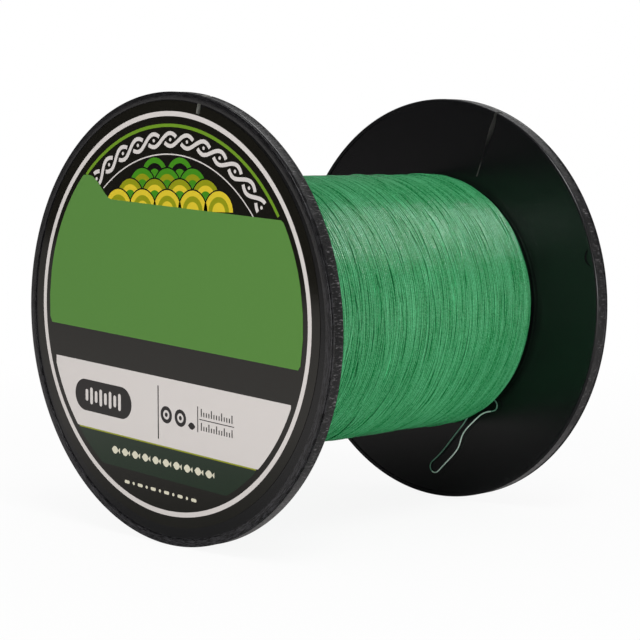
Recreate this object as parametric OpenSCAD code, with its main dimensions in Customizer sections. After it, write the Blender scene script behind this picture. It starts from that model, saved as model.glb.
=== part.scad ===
// Bulk spool of braided fishing line, lying on its two rims.
// The spool's axis is Y: the front flange is at -Y and the back flange at +Y.
// The origin is on the axis, half way between the flanges. Z is up.

/* [Flanges] */
// Diameter of both flanges
flange_d = 110; // [100:1:120]
// Thickness of a flange at its rim
rim_t = 4.2; // [3.6:0.1:5]
// Distance between the rims' inner faces
gap_w = 93.6; // [80:0.2:100]
// Width of the raised lip along the rim
lip_w = 1.9; // [1.4:0.1:2.4]
// Depth of the recess inside the lip, on each face
recess = 0.3; // [0.25:0.05:0.5]
// Where the front flange's line slit points, from +X towards +Z
front_slit_deg = 78; // [0:1:359]
// Where the back flange's line slit points, from +X towards +Z
back_slit_deg = 68; // [0:1:359]

/* [Core] */
// Outer diameter of the barrel under the line
barrel_d = 52; // [46:1:56]
// Wall of the barrel
barrel_wall = 1.6; // [1.2:0.1:2.4]
// Diameter of the spindle bore
bore_d = 10; // [8:0.5:14]
// Wall of the spindle tube
tube_wall = 2; // [1.5:0.1:3]

/* [Line] */
// Diameter of the braided line
line_d = 0.55; // [0.4:0.05:0.7]
// Outer radius of the full winding
winding_r = 34.6; // [33:0.2:40]
// How far the winding's ends are rounded down beside the flanges
shoulder_drop = 2; // [1:0.1:2.5]

/* [Labels] */
// Diameter of the front label
front_label_d = 103.4; // [95:0.2:103.4]
// How far the front label lies off the axis, along X
front_label_x = -0.5; // [-0.5:0.1:0.5]
// How far the front label lies off the axis, along Z
front_label_z = 1.2; // [-1.2:0.1:1.2]
// Diameter of the back label
back_label_d = 96; // [60:1:100]
// Thickness of a label
label_t = 0.2; // [0.1:0.05:0.25]

/* [Hidden] */

cut = 0.01;
fine = 96;

// Flange
flange_r = flange_d / 2;
recess_r = flange_r - lip_w;
inner_lip_w = 1.2;
inner_lip_r = flange_r - inner_lip_w;
floor_y = gap_w / 2 + recess;
face_y = gap_w / 2 + rim_t;
edge_round = 1.1;
edge_steps = 2;
face_edge = 0.15;
rim_groove_y = 0.45;
rim_groove_w = 0.4;
rim_groove_deep = 0.4;
slit_outer_w = 1.1;
slit_wide_w = 1.6;
slit_wide_r = 50;
slit_inner_w = 0.5;
slit_inner_r = 42;
score_end_r = 36.6;
score_w = 0.4;
score_deep = 0.3;
mouth_w = 0.7;
mouth_deep = 1.6;
pocket_deg = 53.6;
pocket_r = 2.5;
pocket_deep = 0.4;
pocket_centre_r = flange_r - 0.5;
bore_lead = 0.5;

// Spigot ring, boss and spindle tube
press_gap = 0.05;
spigot_r = barrel_d / 2 - barrel_wall - press_gap;
spigot_wall = 1.6;
spigot_h = 6;
bore_r = bore_d / 2;
tube_r = bore_r + tube_wall;
boss_wall = 2;
boss_h = 8;
socket_deep = 6;
tube_end_y = floor_y - boss_h + socket_deep - press_gap;

// Start of the line on the barrel
barrel_r = barrel_d / 2;
start_groove = 0.7;
start_y = -20;
start_len = 28;
tape_len = 14;
tape_half_deg = 28;
tape_t = 0.16;
tape_gap = 0.04;

// Outer layer: one six-sided tube in fat turns that stand for the layer's fine ones
loops = 24;
loop_rings = 18;
sides = 6;
turn_d = 2.94;
turn_r = turn_d / 2;
turn_flat = turn_r * cos(180 / sides);
helix_r = winding_r - turn_flat;
end_straight = turn_d;
end_bend = 3.1;
bend_steps = 5;
first_y = -floor_y + turn_r + 0.35;
jog = end_straight + end_bend - turn_r - 0.35;
jog_power = 3;
shoulder_w = 3.4;
helix_steps = loops * loop_rings;
core_gap = 0.06;
// A turn's straight pieces dip between its rings by this much
chord_dip = helix_r * (1 - cos(180 / loop_rings));

// How far the winding's surface drops at a distance along the axis
function shoulder(y) =
    let (into = max(0, (abs(y) - (floor_y - shoulder_w)) / shoulder_w)) shoulder_drop * pow(min(1, into), 2);

// A point at an arc length along the turn, a place along the axis and a depth below the turns
function on_helix(arc, y, drop) =
    let (r = helix_r - drop, a = arc / helix_r * 180 / PI) [r * cos(a), y, r * sin(a)];

function helix_y(turn) =
    let (side = 1 - 2 * turn / loops, lift = pow((1 + cos(360 * turn)) / 2, jog_power))
    first_y * side + jog * side * lift;

lap = 2 * PI * helix_r;
start_tail = [for (k = [0:1]) [-end_bend, -floor_y + k * end_straight, 0]];
start_bend = [for (k = [1:bend_steps - 1]) let (a = 90 * k / bend_steps)
    [-end_bend * cos(a), -floor_y + end_straight + end_bend * sin(a), 0]];
turns = [for (k = [0:helix_steps]) let (y = helix_y(k / loop_rings)) [lap * k / loop_rings, y, shoulder(y)]];
end_bend_pts = [for (k = [bend_steps - 1:-1:1]) let (a = 90 * k / bend_steps)
    [lap * loops + end_bend * cos(a), floor_y - end_straight - end_bend * sin(a), 0]];
end_tail = [for (k = [1:-1:0]) [lap * loops + end_bend, floor_y - k * end_straight, 0]];
wound_flat = concat(start_tail, start_bend, turns, end_bend_pts, end_tail);
wound_path = [for (p = wound_flat) on_helix(p[0], p[1], p[2])];
wound_out = [for (p = wound_flat) let (a = p[0] / helix_r * 180 / PI) [cos(a), 0, sin(a)]];

// Least gap between rings about one turn apart along the tube, the straight ends among them
gap_window = 9;
ring_count = len(wound_path);
turn_gap = min([for (i = [0:ring_count - 1])
    for (j = [i + loop_rings - gap_window:min(i + loop_rings + gap_window, ring_count - 1)])
        if (j > i && j < ring_count) norm(wound_path[i] - wound_path[j])]) - turn_d;

// Loose loop: out of the last turns, down the back flange's inner face and back again
loop_route = [
    [20.6, 46.0, -26.0], [22.0, 46.0, -26.4], [22.6, 46.0, -27.7], [22.0, 46.0, -29.0],
    [20.4, 46.0, -29.4], [18.7, 46.0, -29.7], [17.0, 46.0, -30.4], [15.2, 46.0, -31.8],
    [13.0, 46.0, -33.7], [11.2, 46.1, -35.3], [9.8, 46.2, -37.1], [9.1, 46.3, -39.1],
    [8.4, 46.4, -40.7], [7.0, 46.5, -42.3], [5.0, 46.6, -44.2], [3.2, 46.6, -45.8],
    [1.5, 46.7, -47.4], [0.1, 46.7, -48.7], [-1.5, 46.7, -48.6], [-2.4, 46.7, -47.3],
    [-1.9, 46.6, -45.9], [-0.3, 46.6, -44.7], [1.6, 46.5, -43.1], [3.5, 46.5, -41.2],
    [5.3, 46.4, -39.2], [7.1, 46.3, -37.3], [8.8, 46.2, -35.5], [10.6, 46.1, -33.6],
    [12.0, 46.0, -31.8]
];
loop_sides = 8;
loop_steps = 2;

// Even cubic spline through the middle of the route, straight at its two ends
function knot(p, k) =
    k < 0 ? 2 * p[0] - p[1] : k > len(p) - 1 ? 2 * p[len(p) - 1] - p[len(p) - 2] : p[k];
function spline(p, k, t) =
    (pow(1 - t, 3) * knot(p, k - 1) + (3 * pow(t, 3) - 6 * t * t + 4) * knot(p, k)
     + (1 + 3 * t + 3 * t * t - 3 * pow(t, 3)) * knot(p, k + 1) + pow(t, 3) * knot(p, k + 2)) / 6;
function smooth_route(p, n) =
    concat([for (k = [0:len(p) - 2]) for (i = [0:n - 1]) spline(p, k, i / n)], [p[len(p) - 1]]);
function unit(v) = v / norm(v);
function along(p, i) = unit(p[min(i + 1, len(p) - 1)] - p[max(i - 1, 0)]);
function ring(centre, dir, out, r, n, turned) =
    let (b = unit(cross(dir, out)), c = unit(cross(b, dir)))
    [for (k = [0:n - 1]) let (a = 360 * (k + turned) / n) centre + r * (cos(a) * c + sin(a) * b)];

loose_path = smooth_route(loop_route, loop_steps);
function route_length(p) = [for (i = [0:len(p) - 2]) norm(p[i + 1] - p[i])] * [for (i = [0:len(p) - 2]) 1];

echo(least_gap_between_turns_mm = turn_gap);
echo(loose_loop_length_mm = route_length(loose_path));
echo(winding_triangles = 2 * sides * (ring_count - 1) + 2 * (sides - 2));
echo(loose_loop_rings = len(loose_path));

// A closed tube through rings of points; the rings run along the tube
module tube_of_rings(rings, n) {
    last = len(rings) - 1;
    polyhedron(
        points = [for (r = rings) for (p = r) p],
        faces = concat(
            [for (k = [1:n - 2]) [0, k + 1, k]],
            [for (k = [1:n - 2]) [last * n, last * n + k, last * n + k + 1]],
            [for (i = [0:last - 1]) for (k = [0:n - 1])
                [i * n + k, i * n + (k + 1) % n, (i + 1) * n + k]],
            [for (i = [0:last - 1]) for (k = [0:n - 1])
                [i * n + (k + 1) % n, (i + 1) * n + (k + 1) % n, (i + 1) * n + k]]));
}

// Turns a shape built up along +Z so that it runs along +Y
module to_axis() {
    rotate([-90, 0, 0]) children();
}

// Half section of a flange: radius, then distance outwards from the rim's inner face
module flange_section() {
    groove_mid = rim_t - rim_groove_y;
    polygon(concat(
        [[bore_r, recess], [inner_lip_r, recess], [inner_lip_r, 0]],
        [for (k = [0:edge_steps]) let (a = 90 * k / edge_steps)
            [flange_r - edge_round + edge_round * sin(a), edge_round - edge_round * cos(a)]],
        [[flange_r, groove_mid - rim_groove_w / 2], [flange_r - rim_groove_deep, groove_mid],
         [flange_r - face_edge, groove_mid + rim_groove_w / 2], [flange_r - face_edge, rim_t],
         [recess_r, rim_t], [recess_r, rim_t - recess],
         [bore_r + bore_lead, rim_t - recess], [bore_r, rim_t - recess - bore_lead]]));
}

// The moulding, its inner face at Z 0 and its outer face up, the slit along +X
module flange_blank() {
    rotate_extrude($fn = fine) flange_section();
    translate([0, 0, recess - spigot_h]) difference() {
        cylinder(r = spigot_r, h = spigot_h + cut, $fn = fine);
        translate([0, 0, -cut]) cylinder(r = spigot_r - spigot_wall, h = spigot_h + 3 * cut, $fn = fine);
    }
    translate([0, 0, recess - boss_h]) difference() {
        cylinder(r = tube_r + boss_wall, h = boss_h + cut, $fn = fine);
        translate([0, 0, -cut]) cylinder(r = tube_r + press_gap, h = socket_deep + cut, $fn = fine);
        translate([0, 0, -cut]) cylinder(r = bore_r, h = boss_h + 3 * cut, $fn = fine);
    }
}

// Slit for the line's end, wider towards its outer part, its narrow mouth through the rim's inner
// edge and the scored line that leads to it
module line_slit() {
    translate([0, 0, -1]) linear_extrude(rim_t + 2)
        polygon([[slit_inner_r, -slit_inner_w / 2], [slit_wide_r, -slit_wide_w / 2],
                 [recess_r, -slit_outer_w / 2], [recess_r, slit_outer_w / 2],
                 [slit_wide_r, slit_wide_w / 2], [slit_inner_r, slit_inner_w / 2]]);
    translate([0, 0, -1]) linear_extrude(1 + rim_t - mouth_deep)
        polygon([[recess_r - 0.5, -slit_outer_w / 2], [flange_r + 1, -mouth_w / 2],
                 [flange_r + 1, mouth_w / 2], [recess_r - 0.5, slit_outer_w / 2]]);
    translate([score_end_r, -score_w / 2, recess - cut])
        cube([slit_inner_r - score_end_r + 1, score_w, score_deep]);
}

// Shallow half-round pocket beside the inner face's lip, that the line's clip sits in
module clip_pocket() {
    intersection() {
        rotate([0, 0, pocket_deg]) translate([pocket_centre_r, 0, 0])
            cylinder(r = pocket_r, h = pocket_deep + recess, $fn = fine / 2);
        cylinder(r = inner_lip_r, h = pocket_deep + recess, $fn = fine);
    }
}

module flange(slit_deg) {
    rotate([0, 0, slit_deg]) difference() {
        flange_blank();
        line_slit();
        clip_pocket();
    }
}

module front_flange() {
    color([0.13, 0.13, 0.14]) translate([0, -gap_w / 2, 0]) rotate([90, 0, 0])
        flange(front_slit_deg);
}

module back_flange() {
    color([0.1, 0.11, 0.11]) translate([0, gap_w / 2, 0]) to_axis()
        flange(-back_slit_deg);
}

module core_barrel() {
    color([0.16, 0.16, 0.17]) to_axis() difference() {
        translate([0, 0, -floor_y]) cylinder(r = barrel_r, h = 2 * floor_y, $fn = fine);
        translate([0, 0, -floor_y - 1])
            cylinder(r = barrel_r - barrel_wall, h = 2 * floor_y + 2, $fn = fine);
        translate([-start_groove / 2, -barrel_r - 1, start_y - 1])
            cube([start_groove, 1 + start_groove, start_len + 2]);
    }
}

module centre_tube() {
    color([0.2, 0.2, 0.21]) to_axis() difference() {
        translate([0, 0, -tube_end_y]) cylinder(r = tube_r, h = 2 * tube_end_y, $fn = fine);
        translate([0, 0, -tube_end_y - 1]) cylinder(r = bore_r, h = 2 * tube_end_y + 2, $fn = fine);
    }
}

label_y = face_y - recess;
nick_w = 1.4;
nick_in_r = 50.6;
hole_margin = 1.5;

// Round sticker with a nick over the line slit, so the slit stays open
module front_label() {
    color([0.35, 0.53, 0.25]) translate([0, -label_y, 0]) rotate([90, 0, 0]) difference() {
        translate([front_label_x, front_label_z, 0]) cylinder(d = front_label_d, h = label_t, $fn = fine);
        rotate([0, 0, front_slit_deg]) translate([nick_in_r, -nick_w / 2, -cut])
            cube([flange_r, nick_w, label_t + 2 * cut]);
    }
}

module back_label() {
    color([0.82, 0.82, 0.8]) to_axis() translate([0, 0, label_y]) difference() {
        cylinder(d = back_label_d, h = label_t, $fn = fine);
        translate([0, 0, -cut]) cylinder(r = bore_r + hole_margin, h = label_t + 2 * cut, $fn = fine);
    }
}

// Part of a thin round wall on the barrel's top, from radius r0 to r1
module barrel_patch(r0, r1, half_deg, y0, len_y) {
    reach = 2 * r1;
    to_axis() translate([0, 0, y0]) intersection() {
        difference() {
            cylinder(r = r1, h = len_y, $fn = fine);
            translate([0, 0, -1]) cylinder(r = r0, h = len_y + 2, $fn = fine);
        }
        linear_extrude(len_y) polygon([[0, 0], [-reach * sin(half_deg), -reach * cos(half_deg)],
                                       [reach * sin(half_deg), -reach * cos(half_deg)]]);
    }
}

module start_tape() {
    color([0.85, 0.85, 0.8])
        barrel_patch(barrel_r, barrel_r + tape_t, tape_half_deg, start_y + start_len / 4, tape_len);
}

module line_start() {
    color([0.2, 0.6, 0.38]) translate([0, start_y, barrel_r - start_groove + line_d / 2])
        to_axis() cylinder(d = line_d, h = start_len, $fn = 16);
}

// Inner layers: a plain turned core under the outer layer, rounded down beside the flanges.
// Its bore clears the tape on the barrel.
module wound_line_core() {
    core_r = helix_r - chord_dip - turn_flat - core_gap;
    inner_r = barrel_r + tape_t + tape_gap;
    end_r = core_r - shoulder(floor_y);
    color([0.12, 0.45, 0.28]) to_axis() rotate_extrude($fn = fine)
        polygon([[inner_r, -floor_y], [end_r, -floor_y], [core_r, shoulder_w - floor_y],
                 [core_r, floor_y - shoulder_w], [end_r, floor_y], [inner_r, floor_y]]);
}

// Outer layer of turns, one unbroken tube whose ends run square into the flanges
module wound_line_outer() {
    rings = [for (i = [0:ring_count - 1])
        ring(wound_path[i], along(wound_path, i), wound_out[i], turn_r, sides, 0.5)];
    color([0.25, 0.6, 0.4]) tube_of_rings(rings, sides);
}

module loose_line_loop() {
    rings = [for (i = [0:len(loose_path) - 1])
        ring(loose_path[i], along(loose_path, i), [0, 1, 0], line_d / 2, loop_sides, 0)];
    color([0.35, 0.66, 0.46]) tube_of_rings(rings, loop_sides);
}

front_flange();
back_flange();
core_barrel();
centre_tube();
front_label();
back_label();
start_tape();
line_start();
wound_line_core();
wound_line_outer();
loose_line_loop();
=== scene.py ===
"""Finished pieces of a bulk spool of braided fishing line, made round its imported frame.

The spool lies on its two rims with its axis along Y: the labelled front flange is at -Y and the
back flange at +Y. Sizes are in millimetres and are turned to metres where a mesh is made.
"""

import math

import bmesh
import bpy
import numpy as np
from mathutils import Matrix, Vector


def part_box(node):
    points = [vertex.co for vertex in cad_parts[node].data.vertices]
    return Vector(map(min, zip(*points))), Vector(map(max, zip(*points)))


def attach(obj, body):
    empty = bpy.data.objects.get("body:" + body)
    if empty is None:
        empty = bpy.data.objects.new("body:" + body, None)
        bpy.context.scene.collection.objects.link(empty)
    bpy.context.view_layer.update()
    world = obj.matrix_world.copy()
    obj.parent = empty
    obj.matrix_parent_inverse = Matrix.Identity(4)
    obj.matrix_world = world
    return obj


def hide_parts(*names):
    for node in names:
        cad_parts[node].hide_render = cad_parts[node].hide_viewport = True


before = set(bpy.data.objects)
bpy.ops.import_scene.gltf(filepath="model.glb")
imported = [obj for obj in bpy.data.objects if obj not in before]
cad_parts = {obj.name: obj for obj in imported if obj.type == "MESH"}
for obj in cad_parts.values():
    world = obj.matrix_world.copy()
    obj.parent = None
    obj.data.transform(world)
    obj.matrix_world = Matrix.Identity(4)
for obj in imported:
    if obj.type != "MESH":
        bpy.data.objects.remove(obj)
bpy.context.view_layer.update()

bl_info = {
    "name": "Fishing line spool",
    "version": (1, 0, 0),
    "blender": (4, 5, 0),
    "location": "3D View > Sidebar > Spool",
    "description": "Adds the finished pieces of a spool of braided fishing line",
    "category": "Add Mesh",
}

MM = 0.001
BODY = "root"


def node_start(node, axis):
    """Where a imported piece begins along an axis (0, 1 or 2), in millimetres."""
    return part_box(node)[0][axis] / MM


def node_reach(node, axis):
    """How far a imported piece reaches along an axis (0, 1 or 2), in millimetres."""
    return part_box(node)[1][axis] / MM


FLANGE_R = node_reach("front_flange", 0)
FACE_Y = -node_start("front_flange", 1)
FLOOR_Y = node_reach("wound_line_core", 1)
LABEL_Y = node_start("back_label", 1)
WINDING_R = node_reach("wound_line_outer", 0)
BARREL_R = node_reach("core_barrel", 0)
LABEL_R = (node_reach("front_label", 0) - node_start("front_label", 0)) / 2
LABEL_X = (node_reach("front_label", 0) + node_start("front_label", 0)) / 2
LABEL_Z = (node_reach("front_label", 2) + node_start("front_label", 2)) / 2


# ---------------------------------------------------------------- sizes that a user may change

def linear(hex_code):
    """An sRGB hex colour as linear red, green, blue and an alpha of 1."""
    shares = [int(hex_code[k:k + 2], 16) / 255 for k in (0, 2, 4)]
    return tuple(s / 12.92 if s <= 0.04045 else ((s + 0.055) / 1.055) ** 2.4 for s in shares) + (1.0,)


def length(name, text, size_mm):
    """A length that a user may change, given in millimetres."""
    return bpy.props.FloatProperty(name=name, description=text, default=size_mm * MM,
                                   subtype="DISTANCE", unit="LENGTH", precision=5)


def angle(name, text, degrees):
    """An angle that a user may change, given in degrees."""
    return bpy.props.FloatProperty(name=name, description=text, default=math.radians(degrees),
                                   subtype="ANGLE", unit="ROTATION")


def colour(name, text, hex_code):
    """A colour that a user may change, given as an sRGB hex code."""
    return bpy.props.FloatVectorProperty(name=name, description=text, default=linear(hex_code),
                                         subtype="COLOR", size=4, min=0.0, max=1.0)


class SpoolFlangeSettings(bpy.types.PropertyGroup):
    rim_t: length("Rim thickness", "Thickness of a flange at its rim", 4.2)
    lip_w: length("Lip width", "Width of the raised lip along the rim", 1.9)
    inner_lip_w: length("Inner lip width", "Width of the lip on the face beside the line", 1.2)
    recess: length("Recess", "Depth of the recess inside the lip, on each face", 0.3)
    edge_round: length("Inner edge", "Radius of the rim's rounded inner edge", 0.6)
    front_slit: angle("Front slit", "Where the front flange's slit points, from +X towards +Z", 78)
    back_slit: angle("Back slit", "Where the back flange's slit points, from +X towards +Z", 68)
    plastic: colour("Plastic", "Colour of the moulded flanges", "0a0a0c")


class SpoolLineSettings(bpy.types.PropertyGroup):
    line_d: length("Line diameter", "Diameter of the braided line", 0.55)
    loose_d: length("Loose line diameter", "Diameter of the line where it hangs free, drawn out thin", 0.36)
    lay_w: length("Lay width", "Width of the line where it lies flattened on the spool", 0.68)
    lay_h: length("Lay height", "Height of the line where it lies flattened on the spool", 0.52)
    pitch: length("Pitch", "Distance between neighbouring turns of the outer layer", 0.66)
    crossings: bpy.props.IntProperty(name="Crossing turns", default=34, min=0, max=60,
                                     description="Stretches of line that cross over the outer layer")
    # The pale colour also stands for painted sheen on each strand's crown, and the dye for painted shade in
    # the grooves between strands
    deep: colour("Dye", "Colour of the dyed line in its grooves", "007034")
    pale: colour("Rubbed line", "Colour of the line where it is rubbed", "50aa74")


class SpoolLabelSettings(bpy.types.PropertyGroup):
    lean: angle("Lean", "How far the print's rows fall from left to right", 3.5)
    green: colour("Panel green", "Ink of the large panel", "518434")
    white: colour("White", "Ink of the ring, the white panel and the marks on black", "d2cdca")
    black: colour("Black", "Ink of the label's ground", "181713")


class SpoolStageSettings(bpy.types.PropertyGroup):
    azimuth: angle("Azimuth", "Where the camera stands, from -Y towards +X", 44.837)
    elevation: angle("Elevation", "How far the camera stands above the spool's axis", 4.622)
    distance: length("Distance", "From the camera to the middle of the spool", 510.87)
    aim: bpy.props.FloatVectorProperty(name="Aim", subtype="TRANSLATION", unit="LENGTH", size=3,
                                       description="Point that the camera looks at",
                                       default=(0.000574, 0.000205, -0.002984))
    lens: bpy.props.FloatProperty(name="Lens", default=110.573, min=20.0, max=300.0,
                                  unit="CAMERA", description="Focal length on a sensor 36 mm wide")
    paper: colour("Floor", "Colour of the pale floor", "f7f7f7")


# ---------------------------------------------------------------- materials

POLYSTYRENE_IOR, POLYETHYLENE_IOR, PVC_IOR, CLEAR_FILM_IOR = 1.59, 1.53, 1.54, 1.49
# The colour sockets of a Mix node: its two inputs and its output
TINT_A, TINT_B, MIXED = 6, 7, 2


def add(tree, kind, inputs=None, **settings):
    """Adds a shader node. inputs maps a socket's name or number to a value, to another node's
    output, or to a node, whose first output it then takes."""
    made = tree.nodes.new("ShaderNode" + kind)
    for name, value in settings.items():
        setattr(made, name, value)
    for socket, value in (inputs or {}).items():
        if isinstance(value, bpy.types.Node):
            value = value.outputs[0]
        if isinstance(value, bpy.types.NodeSocket):
            tree.links.new(value, made.inputs[socket])
        else:
            made.inputs[socket].default_value = value
    return made


def start_material(name):
    """An empty material, its node tree, and the place on the object that its patterns follow."""
    made = bpy.data.materials.new(name)
    made.use_nodes = True
    made.node_tree.nodes.clear()
    return made, made.node_tree, add(made.node_tree, "TexCoord").outputs["Object"]


def end_material(tree, inputs):
    """Ends a material's nodes in a Principled shader with those inputs."""
    shader = add(tree, "BsdfPrincipled", inputs)
    add(tree, "OutputMaterial", {"Surface": shader})


def per_metre(size_mm):
    """The texture scale that gives a pattern of that size, on coordinates in metres."""
    return 1 / (size_mm * MM)


def from_axis(tree, place):
    """How far a place lies from the spool's axis, in metres."""
    flat = add(tree, "VectorMath", {0: place, 1: (1.0, 0.0, 1.0)}, operation="MULTIPLY")
    return add(tree, "VectorMath", {0: flat}, operation="LENGTH").outputs["Value"]


def polystyrene_moulded_gloss(name, plastic):
    """Black polystyrene from a polished mould: soft gloss, faint flow marks and a finely scratched lip.

    The eye sees blurred, slightly uneven reflections. Grey scratches 0.22 mm wide and 2.2 mm long
    run round the lip, densest low on the outer face, where it rubbed on what it lay on.
    """
    made, tree, place = start_material(name)
    radius = from_axis(tree, place)
    split = add(tree, "SeparateXYZ", {0: place})
    round_it = add(tree, "CombineXYZ", {"X": radius, "Y": split.outputs["X"], "Z": split.outputs["Z"]})
    lengthwise = add(tree, "Mapping", {"Vector": round_it,
                                       "Scale": (per_metre(0.22), per_metre(2.2), per_metre(2.2))})
    scratches = add(tree, "TexNoise", {"Vector": lengthwise, "Scale": 1.0, "Detail": 4.0, "Roughness": 0.7})
    scuffs = add(tree, "MapRange", {"Value": scratches, "From Min": 0.44, "From Max": 0.8})
    off_middle = add(tree, "Math", {0: split.outputs["Y"]}, operation="ABSOLUTE")
    lip, low_down = (radius, FLANGE_R - 2.4, FLANGE_R - 1.4, 0.0), (split.outputs["Z"], 40, -35, 0.3)
    outer_face = (off_middle, FACE_Y - 3, FACE_Y - 1, 0.15)
    for value, start, end, least in (lip, low_down, outer_face):
        share = add(tree, "MapRange", {"Value": value, "From Min": start * MM, "From Max": end * MM,
                                       "To Min": least})
        scuffs = add(tree, "Math", {0: scuffs, 1: share}, operation="MULTIPLY")
    tone = add(tree, "Mix", {"Factor": scuffs, TINT_A: plastic, TINT_B: linear("4e4d52")}, data_type="RGBA")
    gloss = add(tree, "MapRange", {"Value": scuffs, "To Min": 0.26, "To Max": 0.42})
    flow = add(tree, "TexNoise", {"Vector": place, "Scale": per_metre(9), "Detail": 2.0})
    bump = add(tree, "Bump", {"Height": flow, "Strength": 0.12, "Distance": 0.05 * MM})
    end_material(tree, {"Base Color": tone.outputs[MIXED], "Roughness": gloss, "Normal": bump,
                        "IOR": POLYSTYRENE_IOR})
    return made


def polystyrene_moulded_grain(name, plastic):
    """The rim's side, ejected along a grained mould wall: dull charcoal with fine scratches along the axis.

    The scratches are 0.35 mm apart, about twice as coarse as the real texture, so that they show.
    The rim is drawn lighter low down, and most of all near the floor, as a painted reflection of the floor's
    light.
    """
    made, tree, place = start_material(name)
    stretched = add(tree, "Mapping", {"Vector": place,
                                      "Scale": (per_metre(0.35), per_metre(1.6), per_metre(0.35))})
    grains = add(tree, "TexNoise", {"Vector": stretched, "Scale": 1.0, "Detail": 3.0, "Roughness": 0.7})
    grain_and_painted_light = add(tree, "MapRange", {"Value": grains, "From Min": 0.55, "From Max": 0.76})
    height = add(tree, "SeparateXYZ", {0: place}).outputs["Z"]
    # Painted light: lighter towards the bottom, standing in for the floor's light that the rim's side mirrors
    # there
    for start, end, most in ((0, -48, 0.22), (-30, -52, 0.8)):
        pale_share_with_painted_light = add(tree, "MapRange", {"Value": height, "From Min": start * MM, "From Max": end * MM,
                                      "To Max": most})
        grain_and_painted_light = add(tree, "Math", {0: grain_and_painted_light, 1: pale_share_with_painted_light}, operation="ADD")
    tone = add(tree, "Mix", {"Factor": grain_and_painted_light, TINT_A: plastic, TINT_B: linear("8a888a")}, data_type="RGBA")
    gloss = add(tree, "MapRange", {"Value": grains, "To Min": 0.34, "To Max": 0.6})
    bump = add(tree, "Bump", {"Height": grains, "Strength": 1.0, "Distance": 0.3 * MM})
    end_material(tree, {"Base Color": tone.outputs[MIXED], "Roughness": gloss, "Normal": bump,
                        "IOR": POLYSTYRENE_IOR, "Specular IOR Level": 0.35})
    return made


def polystyrene_sawn(name, plastic, cut_tint_with_painted_light):
    """The slit's walls, sawn after moulding: matte cut plastic, drawn in a light grey tint that is partly the
    cut surface and partly painted light on the wall that faces the light.

    The painted light fades inwards, leaving the plain plastic dark where the slit narrows, and the score's
    inner end is drawn pale again.
    """
    made, tree, place = start_material(name)
    stretched = add(tree, "Mapping", {"Vector": place,
                                      "Scale": (per_metre(1.2), per_metre(0.3), per_metre(1.2))})
    marks = add(tree, "TexNoise", {"Vector": stretched, "Scale": 1.0, "Detail": 3.0})
    tone = add(tree, "Mix", {"Factor": marks, TINT_A: plastic, TINT_B: cut_tint_with_painted_light}, data_type="RGBA")
    radius = from_axis(tree, place)
    # Painted light: the grey tint shows near the rim, where the wall opens to the light, and again at the
    # score's inner end
    sawn, scraped = [add(tree, "MapRange", {"Value": radius, "From Min": start * MM, "From Max": end * MM})
                     for start, end in ((45, 51), (41, 39.5))]
    pale_share_with_painted_light = add(tree, "Math", {0: sawn, 1: scraped}, operation="MAXIMUM")
    cut_wall_with_painted_light = add(tree, "Mix", {"Factor": pale_share_with_painted_light, TINT_A: plastic, TINT_B: tone.outputs[MIXED]}, data_type="RGBA")
    bump = add(tree, "Bump", {"Height": marks, "Strength": 0.4, "Distance": 0.1 * MM})
    end_material(tree, {"Base Color": cut_wall_with_painted_light.outputs[MIXED], "Roughness": 0.65, "Normal": bump,
                        "IOR": POLYSTYRENE_IOR})
    return made


def printed_film(name, ink, roughness):
    """Screen-printed vinyl or paper under a laminate: flat colour below a slightly wavy, wet-looking gloss.

    A higher roughness makes the laminate dull.
    """
    made, tree, place = start_material(name)
    waves = add(tree, "TexNoise", {"Vector": place, "Scale": per_metre(14), "Detail": 1.0})
    dust = add(tree, "TexNoise", {"Vector": place, "Scale": per_metre(1.1), "Detail": 2.0})
    gloss = add(tree, "MapRange", {"Value": dust, "To Min": roughness, "To Max": roughness + 0.06})
    bump = add(tree, "Bump", {"Height": waves, "Strength": 0.1, "Distance": 0.08 * MM})
    end_material(tree, {"Base Color": ink, "Roughness": gloss, "Normal": bump, "IOR": CLEAR_FILM_IOR})
    return made


def satin_plastic(name, tint, ior, grain_mm):
    """Plain satin plastic of the hidden parts: a soft, even sheen over a fine surface grain."""
    made, tree, place = start_material(name)
    grain = add(tree, "TexNoise", {"Vector": place, "Scale": per_metre(grain_mm), "Detail": 3.0})
    gloss = add(tree, "MapRange", {"Value": grain, "To Min": 0.35, "To Max": 0.6})
    bump = add(tree, "Bump", {"Height": grain, "Strength": 0.3, "Distance": 0.03 * MM})
    end_material(tree, {"Base Color": tint, "Roughness": gloss, "Normal": bump, "IOR": ior})
    return made


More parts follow.
